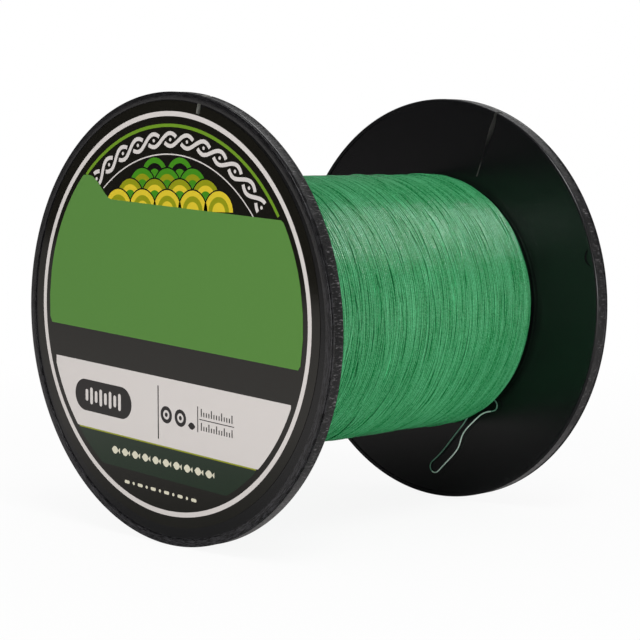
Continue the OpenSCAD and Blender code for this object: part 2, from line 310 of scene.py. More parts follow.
def braided_polyethylene(name, deep, pale):
    """Braid of dyed polyethylene fibre, waxy, and lighter at random where rubbing wore it; painted shade
    keeps the saturated dye in its grooves and painted sheen makes each strand's crown lighter.

    UV holds the place along the line in millimetres and the share of the way round it, 0 at the
    outer side. The real picks are 0.35 mm long; they are drawn 0.7 mm long, so that they show as
    a fine speckle. Kinks 1.6 mm apart break up the shine. The tone also drifts along each turn over
    16 mm, and over several turns at once in streaks 2 mm wide and 26 mm long, as the line lay tight
    or loose.
    """
    made, tree, place = start_material(name)
    uv = add(tree, "UVMap", uv_map="along_mm").outputs[0]
    split = add(tree, "SeparateXYZ", {0: uv})
    pick, kink, speckle, drift_run, streak_w, streak_run = 0.7, 1.6, 0.5, 16, 2, 26
    even_share = 0.44
    waves = []
    for hand in (-1, 1):
        lead = add(tree, "Math", {0: split.outputs["Y"], 1: hand * 2 * math.tau}, operation="MULTIPLY")
        phase = add(tree, "Math", {0: split.outputs["X"], 1: math.tau / pick, 2: lead},
                    operation="MULTIPLY_ADD")
        waves.append(add(tree, "Math", {0: phase}, operation="SINE"))
    relief = add(tree, "Math", {0: waves[0], 1: waves[1]}, operation="MAXIMUM")
    # Painted sheen and shade: each strand is drawn lighter on its crown and darker in the grooves beside it
    round_it = add(tree, "Math", {0: split.outputs["Y"], 1: math.tau}, operation="MULTIPLY")
    crown = add(tree, "Math", {0: round_it}, operation="COSINE")
    patterns = []
    slow = per_metre(streak_run)
    for source, scale, detail in ((uv, (1 / drift_run, 0.4, 1.0), 3.0),
                                  (place, (slow, per_metre(streak_w), slow), 3.0),
                                  (uv, (1 / speckle, 3.0, 1.0), 1.0), (uv, (1 / kink, 0.5, 1.0), 1.0)):
        spread = add(tree, "Mapping", {"Vector": source, "Scale": scale})
        patterns.append(add(tree, "TexNoise", {"Vector": spread, "Scale": 1.0, "Detail": detail,
                                               "Roughness": 0.6}))
    drift, streaks, grain, kinks = patterns
    rubbed_and_painted_sheen = even_share
    for source, low, high, contrast in ((drift, 0.3, 0.7, 0.62), (streaks, 0.3, 0.7, 0.35),
                                        (grain, 0.3, 0.7, 0.5), (crown, -0.2, 1.0, 0.3)):
        share = add(tree, "MapRange", {"Value": source, "From Min": low, "From Max": high,
                                       "To Min": -contrast / 2, "To Max": contrast / 2})
        rubbed_and_painted_sheen = add(tree, "Math", {0: share, 1: rubbed_and_painted_sheen}, operation="ADD")
    tone = add(tree, "Mix", {"Factor": rubbed_and_painted_sheen, TINT_A: deep, TINT_B: pale}, data_type="RGBA")
    for source, amount in ((grain, 6.0), (kinks, 5.0)):
        relief = add(tree, "Math", {0: source, 1: amount, 2: relief}, operation="MULTIPLY_ADD")
    bump = add(tree, "Bump", {"Height": relief, "Strength": 0.6, "Distance": 0.03 * MM})
    end_material(tree, {"Base Color": tone.outputs[MIXED], "Roughness": 0.15, "Normal": bump,
                        "IOR": POLYETHYLENE_IOR})
    return made


def braid_in_shade(name, dye):
    """The layers below the outer ones, seen only in their gaps: the same dye darkened as painted shade, dull,
    in rings of 0.8 mm.
    """
    made, tree, place = start_material(name)
    bands_at_scale_one = 20 / math.tau
    rings = add(tree, "TexWave", {"Vector": place, "Scale": per_metre(0.8) / bands_at_scale_one,
                                  "Distortion": 1.5, "Detail": 1.0},
                wave_type="BANDS", bands_direction="Y").outputs["Fac"]
    tone = add(tree, "MapRange", {"Value": rings, "To Min": 0.3, "To Max": 0.6})
    dyed = add(tree, "VectorMath", {0: dye[:3], "Scale": tone}, operation="SCALE")
    bump = add(tree, "Bump", {"Height": rings, "Strength": 0.6, "Distance": 0.2 * MM})
    end_material(tree, {"Base Color": dyed, "Roughness": 0.6, "Normal": bump, "IOR": POLYETHYLENE_IOR})
    return made


def paper_white(name, tint):
    """White background paper, lit until it is blank: it keeps only soft shadows near the spool.

    What it sends back to the spool is a little grey, and in what gloss mirrors it is greyer close to the
    spool, as a painted shadow.
    """
    made, tree, place = start_material(name)
    far_tint = linear("d8d4d2")
    away = add(tree, "VectorMath", {0: place}, operation="LENGTH").outputs["Value"]
    blank = add(tree, "MapRange", {"Value": away, "From Min": 0.06, "From Max": 0.4, "To Min": 0.9})
    lit = add(tree, "BsdfDiffuse", {"Color": tint})
    glow = add(tree, "Emission", {"Strength": 1.0})
    seen = add(tree, "MixShader", {0: blank, 1: lit, 2: glow})
    bounce = add(tree, "BsdfDiffuse", {"Color": far_tint})
    # Painted shadow: the floor that gloss mirrors darkens towards the spool
    far = add(tree, "MapRange", {"Value": away, "From Min": 0.1, "From Max": 0.26})
    tone = add(tree, "Mix", {"Factor": far, TINT_A: linear("7c7c7c"), TINT_B: far_tint}, data_type="RGBA")
    mirrored_with_painted_shadow = add(tree, "BsdfDiffuse", {"Color": tone.outputs[MIXED]})
    ray = add(tree, "LightPath")
    unseen = add(tree, "MixShader", {0: ray.outputs["Is Glossy Ray"], 1: bounce, 2: mirrored_with_painted_shadow})
    both = add(tree, "MixShader", {0: ray.outputs["Is Camera Ray"], 1: unseen, 2: seen})
    add(tree, "OutputMaterial", {"Surface": both})
    return made


def flag_cloth(name):
    """Black duvetyne of a studio flag: it swallows the light."""
    made, tree, _ = start_material(name)
    end_material(tree, {"Base Color": linear("050505"), "Roughness": 1.0})
    return made


# ---------------------------------------------------------------- meshes and pieces

SHARP_EDGE = math.radians(32)
LINE_ONLY, FLANGES_ONLY = "line_only", "flanges_only"


def lit_alone(name):
    """The collection of the pieces that some lights reach alone. It isn't in the scene."""
    return bpy.data.collections.get(name) or bpy.data.collections.new(name)


def add_piece(name, mesh, materials, replaced=(), lights=None):
    """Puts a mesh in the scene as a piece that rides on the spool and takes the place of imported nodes.

    lights names the collection through which some lights reach this piece and its like alone.
    """
    made = bpy.data.objects.new(name, mesh)
    bpy.context.scene.collection.objects.link(made)
    for material in materials:
        mesh.materials.append(material)
    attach(made, BODY)
    if replaced:
        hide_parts(*replaced)
    if lights:
        lit_alone(lights).objects.link(made)
    return made


def finish_node(node, material):
    """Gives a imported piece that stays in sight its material."""
    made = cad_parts[node]
    made.data.materials.clear()
    made.data.materials.append(material)


def mesh_from_bmesh(name, bm):
    """A smooth mesh with its sharp edges marked, from a bmesh, which it frees."""
    bmesh.ops.recalc_face_normals(bm, faces=bm.faces)
    mesh = bpy.data.meshes.new(name)
    bm.to_mesh(mesh)
    bm.free()
    mesh.shade_smooth()
    mesh.set_sharp_from_angle(angle=SHARP_EDGE)
    return mesh


def join_into(bm, part):
    """Adds a second bmesh to a first and frees it."""
    carrier = bpy.data.meshes.new("carrier")
    part.to_mesh(carrier)
    part.free()
    bm.from_mesh(carrier)
    bpy.data.meshes.remove(carrier)


def arc(centre_r, centre_h, radius, start, stop, steps):
    """Points of an arc, in degrees, in the half plane of radius and height."""
    return [(centre_r + radius * math.cos(math.radians(a)), centre_h + radius * math.sin(math.radians(a)))
            for a in np.linspace(start, stop, steps + 1)]


def lathe(profile, steps, to_y=float):
    """A ring turned about Y from a closed outline of (radius, height) in mm; to_y turns height into Y."""
    bm = bmesh.new()
    rings = []
    for k in range(steps):
        turn = math.tau * k / steps
        rings.append([bm.verts.new((r * math.cos(turn) * MM, to_y(h) * MM, r * math.sin(turn) * MM))
                      for r, h in profile])
    for k in range(steps):
        here, there = rings[k], rings[(k + 1) % steps]
        for i in range(len(profile)):
            j = (i + 1) % len(profile)
            bm.faces.new((here[i], here[j], there[j], there[i]))
    return bm


def prism(outline, low, high, turn, to_y):
    """A closed block on an outline of (along, across) in mm, turned about Y, between two heights."""
    bm = bmesh.new()
    cos, sin = math.cos(turn), math.sin(turn)
    rows = [[bm.verts.new(((u * cos - v * sin) * MM, to_y(h) * MM, (u * sin + v * cos) * MM))
             for u, v in outline] for h in (low, high)]
    bm.faces.new(rows[0])
    bm.faces.new(rows[1][::-1])
    for i in range(len(outline)):
        j = (i + 1) % len(outline)
        bm.faces.new((rows[0][j], rows[0][i], rows[1][i], rows[1][j]))
    return bm


def cut_away(mesh, blocks):
    """The mesh with the blocks taken out of it."""
    scene = bpy.context.scene
    body = bpy.data.objects.new("cut_body", mesh)
    scene.collection.objects.link(body)
    tools = []
    for bm in blocks:
        tool = bpy.data.objects.new("cut_tool", mesh_from_bmesh("cut_tool", bm))
        scene.collection.objects.link(tool)
        tools.append(tool)
        cutting = body.modifiers.new("cut", "BOOLEAN")
        cutting.operation = "DIFFERENCE"
        cutting.solver = "EXACT"
        cutting.object = tool
    shown = body.evaluated_get(bpy.context.evaluated_depsgraph_get())
    result = bpy.data.meshes.new_from_object(shown)
    if not result.polygons:
        raise RuntimeError("the cut left nothing of " + mesh.name)
    for made in [body, *tools]:
        bpy.data.objects.remove(made)
    return result


def tube(path, out, half_w, half_h, sides):
    """Points, faces and UVs of a closed tube: half_h along out, half_w across it, all in mm."""
    path, out = np.asarray(path, float), np.asarray(out, float)
    along = np.gradient(path, axis=0)
    along /= np.linalg.norm(along, axis=1)[:, None]
    side = np.cross(along, out)
    side /= np.linalg.norm(side, axis=1)[:, None]
    up = np.cross(side, along)
    turn = math.tau * np.arange(sides) / sides
    rings = (path[:, None] + half_h * np.cos(turn)[None, :, None] * up[:, None]
             + half_w * np.sin(turn)[None, :, None] * side[:, None])
    count = len(path)
    grid = np.arange(count * sides).reshape(count, sides)
    following = np.roll(grid, -1, axis=1)
    faces = np.stack([grid[:-1], following[:-1], following[1:], grid[1:]], axis=-1).reshape(-1, 4)
    run = np.concatenate([[0], np.cumsum(np.linalg.norm(np.diff(path, axis=0), axis=1))])
    u0, u1 = np.repeat(run[:-1], sides), np.repeat(run[1:], sides)
    v0 = np.tile(np.arange(sides) / sides, count - 1)
    v1 = v0 + 1 / sides
    uvs = np.stack([np.stack(pair, -1) for pair in ((u0, v0), (u0, v1), (u1, v1), (u1, v0))], axis=1)
    caps = [grid[0][::-1].tolist(), grid[-1].tolist()]
    return rings.reshape(-1, 3), faces, caps, uvs.reshape(-1, 2)


def mesh_from_tubes(name, tubes):
    """One mesh of several tubes, with the UV map that the braid material reads."""
    points, faces, uvs = [], [], []
    start = 0
    for rings, quads, caps, quad_uvs in tubes:
        points.append(rings)
        faces += (quads + start).tolist() + [[i + start for i in cap] for cap in caps]
        uvs += [quad_uvs, np.zeros((sum(len(cap) for cap in caps), 2))]
        start += len(rings)
    mesh = bpy.data.meshes.new(name)
    mesh.from_pydata((np.concatenate(points) * MM).tolist(), [], faces)
    layer = mesh.uv_layers.new(name="along_mm")
    layer.data.foreach_set("uv", np.concatenate(uvs).ravel().astype(np.float32))
    mesh.shade_smooth()
    return mesh


def round_tube(path, out, radius, sides):
    """A tube of round section along a path, its seam on the side that out points to."""
    return tube(path, np.tile(out, (len(path), 1)), radius, radius, sides)


# ---------------------------------------------------------------- the loose loop of line

LOOP_ROUTE = [
    (20.6, 46.0, -26.0), (22.0, 46.0, -26.4), (22.6, 46.0, -27.7), (22.0, 46.0, -29.0),
    (20.4, 46.0, -29.4), (18.7, 46.0, -29.7), (17.0, 46.0, -30.4), (15.2, 46.0, -31.8),
    (13.0, 46.0, -33.7), (11.2, 46.1, -35.3), (9.8, 46.2, -37.1), (9.1, 46.3, -39.1),
    (8.4, 46.4, -40.7), (7.0, 46.5, -42.3), (5.0, 46.6, -44.2), (3.2, 46.6, -45.8),
    (1.5, 46.7, -47.4), (0.1, 46.7, -48.7), (-1.5, 46.7, -48.6), (-2.4, 46.7, -47.3),
    (-1.9, 46.6, -45.9), (-0.3, 46.6, -44.7), (1.6, 46.5, -43.1), (3.5, 46.5, -41.2),
    (5.3, 46.4, -39.2), (7.1, 46.3, -37.3), (8.8, 46.2, -35.5), (10.6, 46.1, -33.6),
    (12.0, 46.0, -31.8),
]
# The points of the route between which the line is painted pale as the stretch that catches the light;
# elsewhere it is painted darker as the stretch in the winding's shade
PAINTED_LIGHT_STRETCH = (4, 18)


def smooth_route(points, steps):
    """Even cubic spline through the middle of a route, straight at its two ends."""
    p = np.array(points)
    p = np.concatenate([[2 * p[0] - p[1]], p, [2 * p[-1] - p[-2]], [3 * p[-1] - 2 * p[-2]]])
    line = []
    for k in range(1, len(p) - 3):
        for t in np.arange(steps) / steps:
            line.append(((1 - t) ** 3 * p[k - 1] + (3 * t ** 3 - 6 * t * t + 4) * p[k]
                         + (1 + 3 * t + 3 * t * t - 3 * t ** 3) * p[k + 1] + t ** 3 * p[k + 2]) / 6)
    return np.array(line + [np.array(points[-1])])


class SPOOL_OT_loose_loop(bpy.types.Operator):
    """Adds the loop of line that hangs out of the last turns, against the back flange"""
    bl_idname = "spool.loose_loop"
    bl_label = "Loose loop"

    def execute(self, context):
        line = context.scene.spool_line
        route_steps, sides = 6, 12
        path = smooth_route(LOOP_ROUTE, route_steps)
        radius = line.loose_d / MM / 2
        mesh = mesh_from_tubes("loose_loop", [round_tube(path, (0.0, 1.0, 0.0), radius, sides)])
        # Painted light and shade: two copies of the braid, the lit one near white with painted highlights,
        # the other darker
        braids = [braided_polyethylene(name, linear(deep), linear(pale))
                  for name, deep, pale in (("braid_loose_painted_light", "a4ccb8", "ffffff"),
                                           ("braid_loose_painted_shade", "3c6c56", "8cb8a4"))]
        loop = add_piece("loose_loop_braid", mesh, braids, ["loose_line_loop"], LINE_ONLY)
        for face in mesh.polygons:
            at_point = face.index / route_steps / sides
            face.material_index = 0 if PAINTED_LIGHT_STRETCH[0] <= at_point < PAINTED_LIGHT_STRETCH[1] else 1
        return {"FINISHED"}


# ---------------------------------------------------------------- flanges

BORE_R = 5.0
BORE_LEAD = 0.5
SPIGOT_R, SPIGOT_WALL, SPIGOT_H = 24.35, 1.6, 6.0
BOSS_R, BOSS_H = 9.0, 8.0
SOCKET_R, SOCKET_DEEP = 7.05, 6.0
SLIT_INNER_R, SLIT_INNER_W, SLIT_WIDE_R, SLIT_WIDE_W, SLIT_OUTER_W = 42.0, 0.5, 50.0, 1.6, 1.1
MOUTH_W, MOUTH_DEEP = 0.7, 1.6
SCORE_END_R, SCORE_W, SCORE_DEEP = 36.6, 0.4, 0.3
POCKET_FROM_SLIT = math.radians(53.6)
POCKET_CENTRE_R, POCKET_R, POCKET_DEEP, POCKET_INSET = FLANGE_R - 0.5, 2.5, 0.4, 0.02
# How far a cut runs past what it opens, and how far the mouth's cut laps the slit's
CUT_PAST, MOUTH_LAP = 1.0, 0.5
FLANGE_STEPS = 288
GLOSS, GRAIN, SAWN = range(3)


def flange_profile(rim_t, lip_r, inner_lip_r, recess, edge_round):
    """Outline of half a flange's section, as radius and height outwards from the rim's inner face.

    Comes with the heights between which the rim's side is plain.
    """
    soft, face_edge = 0.08, 0.15
    groove_h, groove_half, groove_deep, groove_floor = rim_t - 0.45, 0.2, 0.4, 0.03
    bead_h, bead_slope, band_in = groove_h - 0.55, 0.06, 0.05
    band = (edge_round + 0.1, bead_h - bead_slope)
    outer = rim_t - recess
    socket_end = recess - BOSS_H + SOCKET_DEEP
    points = [(BORE_R + BORE_LEAD, outer), (lip_r, outer)]
    points += arc(lip_r + soft, rim_t - soft, soft, 180, 90, 2)
    points += arc(FLANGE_R - face_edge, rim_t - face_edge, face_edge, 90, 0, 4)
    points += [(FLANGE_R, groove_h + groove_half), (FLANGE_R - groove_deep, groove_h + groove_floor),
               (FLANGE_R - groove_deep, groove_h - groove_floor)]
    points += arc(FLANGE_R - soft, groove_h - groove_half - soft, soft, 90, 0, 2)
    points += [(FLANGE_R, bead_h + bead_slope), (FLANGE_R - band_in, band[1]), (FLANGE_R - band_in, band[0])]
    points += arc(FLANGE_R - edge_round, edge_round, edge_round, 0, -90, 8)
    points += [(inner_lip_r, 0.0), (inner_lip_r, recess), (SPIGOT_R, recess), (SPIGOT_R, recess - SPIGOT_H),
               (SPIGOT_R - SPIGOT_WALL, recess - SPIGOT_H), (SPIGOT_R - SPIGOT_WALL, recess),
               (BOSS_R, recess), (BOSS_R, recess - BOSS_H), (SOCKET_R, recess - BOSS_H),
               (SOCKET_R, socket_end), (BORE_R, socket_end), (BORE_R, outer - BORE_LEAD)]
    return points, band


def pocket_edge(outer_r):
    """Outline of the clip pocket: a circle's part that lies inside the lip, closed along the lip."""
    meet = (POCKET_CENTRE_R ** 2 + outer_r ** 2 - POCKET_R ** 2) / (2 * POCKET_CENTRE_R)
    start = math.acos((meet - POCKET_CENTRE_R) / POCKET_R)
    half = math.acos(meet / outer_r)
    round_part = [(POCKET_CENTRE_R + POCKET_R * math.cos(a), POCKET_R * math.sin(a))
                  for a in np.linspace(start, math.tau - start, 24)]
    return round_part + [(outer_r * math.cos(a), outer_r * math.sin(a))
                         for a in np.linspace(-half, half, 8)[1:-1]]


def both_sides(edge):
    """Outline that is alike on both sides of a line, from points of (along, width)."""
    return [(u, -w / 2) for u, w in edge] + [(u, w / 2) for u, w in edge[::-1]]


def flange_mesh(name, settings, slit, side):
    """A flange with its slit, the scored line that leads to it and its clip pocket."""
    rim_t, recess, edge_round = (v / MM for v in (settings.rim_t, settings.recess, settings.edge_round))
    lip_r, inner_lip_r = (FLANGE_R - v / MM for v in (settings.lip_w, settings.inner_lip_w))
    profile, band = flange_profile(rim_t, lip_r, inner_lip_r, recess, edge_round)

    def to_y(height):
        return side * (FACE_Y - rim_t + height)

    slit_edge = [(SLIT_INNER_R, SLIT_INNER_W), (SLIT_WIDE_R, SLIT_WIDE_W), (lip_r, SLIT_OUTER_W)]
    mouth_edge = [(lip_r - MOUTH_LAP, SLIT_OUTER_W), (FLANGE_R + CUT_PAST, MOUTH_W)]
    score_edge = [(SCORE_END_R, SCORE_W), (SLIT_INNER_R + CUT_PAST, SCORE_W)]
    mesh = cut_away(mesh_from_bmesh(name, lathe(profile, FLANGE_STEPS, to_y)), [
        prism(both_sides(slit_edge), -CUT_PAST, rim_t + CUT_PAST, slit, to_y),
        prism(both_sides(mouth_edge), -CUT_PAST, rim_t - MOUTH_DEEP, slit, to_y),
        prism(both_sides(score_edge), -CUT_PAST, recess + SCORE_DEEP, slit, to_y),
        prism(pocket_edge(inner_lip_r - POCKET_INSET), -CUT_PAST, POCKET_DEEP + recess,
              slit - side * POCKET_FROM_SLIT, to_y),
    ])
    mesh.name = name
    mesh.materials.clear()
    mesh.set_sharp_from_angle(angle=SHARP_EDGE)
    ahead = Vector((math.cos(slit), 0.0, math.sin(slit)))
    across = Vector((-math.sin(slit), 0.0, math.cos(slit)))
    # How far off a face's middle may lie, in mm, and how squarely a cut's wall faces across the slit
    slack, bead_slack, square_on = 0.2, 0.05, 0.9
    for face in mesh.polygons:
        height = side * face.center.y / MM - (FACE_Y - rim_t)
        radius = math.hypot(face.center.x, face.center.z) / MM
        beside = abs(face.center.dot(across)) / MM
        on_band = radius > FLANGE_R - slack and band[0] - slack < height < band[1] + bead_slack
        past_score_end = face.center.dot(ahead) > SCORE_END_R * MM
        on_slit_wall = beside < SLIT_WIDE_W / 2 and abs(face.normal.dot(across)) > square_on
        on_score_floor = beside < SCORE_W / 2 and recess + slack / 2 < height < rim_t / 2
        cut = past_score_end and (on_slit_wall or on_score_floor)
        face.material_index = SAWN if cut else GRAIN if on_band else GLOSS
    return mesh


class SPOOL_OT_flanges(bpy.types.Operator):
    """Adds the two moulded flanges"""
    bl_idname = "spool.flanges"
    bl_label = "Flanges"

    def execute(self, context):
        settings = context.scene.spool_flange
        gloss = polystyrene_moulded_gloss("polystyrene_moulded_gloss", settings.plastic)
        grain = polystyrene_moulded_grain("polystyrene_moulded_grain", settings.plastic)
        # The back flange's slit tint is darker than the front's as painted shade, for that slit lies in shade
        for name, slit, side, cut_tint_with_painted_light in (("front", settings.front_slit, -1, "c8c8c0"),
                                            ("back", settings.back_slit, 1, "5c5c58")):
            mesh = flange_mesh(name + "_flange_moulding", settings, slit, side)
            sawn = polystyrene_sawn("polystyrene_sawn_" + name, settings.plastic, linear(cut_tint_with_painted_light))
            add_piece(name + "_flange_moulding", mesh, [gloss, grain, sawn],
                      [name + "_flange"], FLANGES_ONLY)
        return {"FINISHED"}


# ---------------------------------------------------------------- parts under the line

class SPOOL_OT_core(bpy.types.Operator):
    """Finishes the barrel, the spindle tube, the tape and the line's first end"""
    bl_idname = "spool.core"
    bl_label = "Core"

    def execute(self, context):
        line = context.scene.spool_line
        for node, slot, name, tint, ior, grain_mm in (
                ("core_barrel", "barrel_plastic", "polystyrene_moulded_satin", "17171a",
                 POLYSTYRENE_IOR, 0.6),
                ("centre_tube", "tube_plastic", "pvc_extruded", "1d1d20", PVC_IOR, 0.4),
                ("start_tape", "tape_film", "polypropylene_tape", "dcd8c4", CLEAR_FILM_IOR, 2.0)):
            finish_node(node, satin_plastic(name, linear(tint), ior, grain_mm))
        low, high = (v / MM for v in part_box("line_start"))
        centre = (low + high) / 2
        rings, sides = 60, 10
        path = [(centre.x, y, centre.z) for y in np.linspace(low.y, high.y, rings)]
        radius = line.line_d / MM / 2
        mesh = mesh_from_tubes("line_start", [round_tube(path, (0.0, 0.0, 1.0), radius, sides)])
        add_piece("line_start_braid", mesh, [braided_polyethylene("braid_start", line.deep, line.pale)],
                  ["line_start"])
        return {"FINISHED"}


# ---------------------------------------------------------------- the winding

SHOULDER_W, SHOULDER_DROP = 3.4, 2.0
# How far the turns' tops stay below the winding's full radius where nothing crosses them
TURN_DROP = 0.2
CROSSING_LIFT = 0.3
# The crossings that are listed: start and sweep round the spool, middle along it and slant
LONG_CROSSINGS = ((math.radians(-18), math.radians(84), -7.0, -8.0),
                  (math.radians(-40), math.radians(70), -20.0, -5.0))


def shoulder(y):
    """How far the winding's surface drops beside the flanges, in mm."""
    into = np.clip((np.abs(y) - (FLOOR_Y - SHOULDER_W)) / SHOULDER_W, 0, 1)
    return SHOULDER_DROP * into ** 2


def winding_swell(y):
    """The slow rise and fall of the outer layer along the spool, in mm."""
    return 0.06 * np.sin(y / 6.1 + 0.7) + 0.05 * np.sin(y / 2.7 + 2.0)


def bunching(y, turn, rng):
    """Moves neighbouring turns together and apart, alike for all, so that none cross; in mm."""
    shift = np.zeros_like(y)
    for period, amount, waves in ((7.0, 0.12, 3), (4.0, 0.12, 4), (3.0, 0.12, 5), (2.3, 0.1, 6)):
        for _ in range(waves):
            around = rng.integers(2, 15)
            phase_y, phase_turn = rng.uniform(0, math.tau, 2)
            along_spool = np.cos(math.tau * y / period + phase_y)
            shift += amount / waves * along_spool * np.cos(around * turn + phase_turn)
    return shift


def wander(turn, count, amount, rng):
    """A smooth wave along the line that differs from turn to turn, and rarely passes the amount."""
    widest = 3.2
    shift = np.zeros_like(turn)
    lap = turn / math.tau
    low = np.clip(np.floor(lap).astype(int), 0, count)
    share = lap - low
    for around in range(1, 17):
        sizes = rng.normal(0, 1, count + 2) / around ** 0.3
        phases = rng.uniform(0, math.tau, count + 2)
        for part, weight in ((low, 1 - share), (low + 1, share)):
            shift += weight * sizes[part] * np.cos(around * turn + phases[part])
    return amount * shift / widest


def on_spool(turn, y, radius):
    """Points and outward directions at an angle from +X towards +Z."""
    out = np.stack([np.cos(turn), np.zeros_like(turn), np.sin(turn)], -1)
    return out * radius[:, None] + np.stack([np.zeros_like(y), y, np.zeros_like(y)], -1), out


def half_lay(line):
    """Half the width and half the height of the line where it lies on the spool, in mm."""
    return line.lay_w / MM / 2, line.lay_h / MM / 2


def outer_turns(line, rng):
    """The outer layer: one unbroken line, laid turn beside turn from one flange to the other."""
    half_w, half_h = half_lay(line)
    reach = FLOOR_Y - half_w - 0.02
    count = int(2 * reach / (line.pitch / MM))
    rings, sides = 112, 6
    turn = np.linspace(0, math.tau * count, count * rings + 1)
    y = -reach + 2 * reach * turn / turn[-1]
    calm = np.clip((reach - np.abs(y)) / 1.5, 0, 1)
    y = y + calm * (bunching(y, turn, rng) + wander(turn, count, 0.07, rng))
    y = np.clip(y, -reach, reach)
    end = np.clip(np.minimum(turn, turn[-1] - turn) / 0.5, 0, 1)
    radius = (WINDING_R - half_h - TURN_DROP - shoulder(y) + winding_swell(y) * calm
              + wander(turn, count, 0.14, rng) - (1 - end) ** 2)
    return tube(*on_spool(turn, y, radius), half_w, half_h, sides)


def under_turns(line, rng):
    """The layer below, wound the other way, that shows in the gaps of the outer one."""
    half_w, half_h = half_lay(line)
    reach = FLOOR_Y - half_w - 0.1
    count = int(2 * reach / (line.pitch / MM * 1.1))
    rings, sides = 60, 6
    turn = np.linspace(0, math.tau * count, count * rings + 1)
    y = reach - 2 * reach * turn / turn[-1]
    y = np.clip(y + wander(turn, count, 0.12, rng), -reach, reach)
    radius = (WINDING_R - half_h * 2.0 - TURN_DROP - shoulder(y) + winding_swell(y)
              + wander(turn, count, 0.04, rng))
    return tube(*on_spool(turn, y, radius), half_w, half_h, sides)


def crossing_turns(line, rng):
    """Stretches of the last turns that climb over their neighbours at a slant and dive under again."""
    half_w, half_h = half_lay(line)
    deep = 2.2 * half_h
    rings, sides = 96, 8
    made = []
    for k in range(line.crossings):
        start = rng.uniform(0, math.tau)
        sweep = math.radians(rng.uniform(40, 130))
        y0 = rng.uniform(-FLOOR_Y + 6, FLOOR_Y - 6)
        slant = rng.choice((-1, 1)) * rng.uniform(0.8, 7.0)
        if k < len(LONG_CROSSINGS):
            start, sweep, y0, slant = LONG_CROSSINGS[k]
        share = np.linspace(0, 1, int(sweep / math.tau * rings) + 8)
        y = np.clip(y0 + slant * (share - 0.5), -FLOOR_Y + 2, FLOOR_Y - 2)
        climb = np.clip(np.minimum(share, 1 - share) * sweep / 0.35, 0, 1)
        lift = -deep + (deep + CROSSING_LIFT) * climb ** 2 * (3 - 2 * climb)
        radius = WINDING_R - half_h - TURN_DROP - shoulder(y) + winding_swell(y) + lift
        made.append(tube(*on_spool(start + sweep * share, y, radius), half_w * 0.85, half_h, sides))
    return made


class SPOOL_OT_winding(bpy.types.Operator):
    """Adds the full winding: its inner layers, the turns of the outer layer and those that cross it"""
    bl_idname = "spool.winding"
    bl_label = "Winding"

    def execute(self, context):
        line = context.scene.spool_line
        rng = np.random.default_rng(7)
        inner_start = BARREL_R + 0.2
        under = 2.2 * line.lay_h / MM
        profile = [(float(WINDING_R - under - shoulder(y)), float(y))
                   for y in np.linspace(-FLOOR_Y, FLOOR_Y, 120)]
        profile = [(inner_start, -FLOOR_Y), *profile, (inner_start, FLOOR_Y)]
        add_piece("winding_inner_layers", mesh_from_bmesh("winding_inner", lathe(profile, 128)),
                  [braid_in_shade("braid_in_shade", line.deep)], ["wound_line_core"])
        braid = braided_polyethylene("braid_wound", line.deep, line.pale)
        # Paler than the outer turns, for the light that real fibre lets through into the gaps
        below = braided_polyethylene("braid_below", linear("10a055"), linear("70e0a0"))
        for name, tubes, fibre, replaced in (
                ("outer", [outer_turns(line, rng)], braid, ["wound_line_outer"]),
                ("under", [under_turns(line, rng)], below, []),
                ("crossing", crossing_turns(line, rng), braid, [])):
            add_piece(f"winding_{name}_turns", mesh_from_tubes("winding_" + name, tubes), [fibre],
                      replaced, LINE_ONLY)
        return {"FINISHED"}


# ---------------------------------------------------------------- labels

RING_X, RING_Z = -0.55, 1.25
FILM_T = 0.1
INK_STEP = 0.008
PRINT_R = 46.4
PANEL_TOP, PANEL_BOTTOM = 26.3, -7.15
PANEL_HORN_X, PANEL_HORN_W, PANEL_HORN_H = -21.0, 8.5, 5.4
WHITE_TOP, WHITE_BOTTOM = -15.45, -32.2
OLIVE_W = 0.35
BAND_BOTTOM = -40.4
NICK_W, NICK_R = 1.4, 50.6
# The hole left in the middle of a full disc of ink, too small to see
PINHOLE_R = 0.02
WHITE, GREEN, RING_GREEN, DEEP_GREEN, OLIVE, YELLOW, SCALE_GREEN, CREAM, INK_BLACK = range(1, 10)
# Each plain ring's inner and outer radius, the angles that it runs between, its ink, layer and steps
PRINTED_RINGS = ((47.9, 49.1, 0, 360, WHITE, 2, 240), (45.3, 46.1, 32.7, 132.6, RING_GREEN, 1, 90),
                 (38.65, 38.95, 39.0, 128.6, WHITE, 1, 90))
# Roughness of the laminate over most of the print, over the large panel and on paper
CLEAR_FILM, DULL_FILM, PAPER_FILM = 0.05, 0.5, 0.18


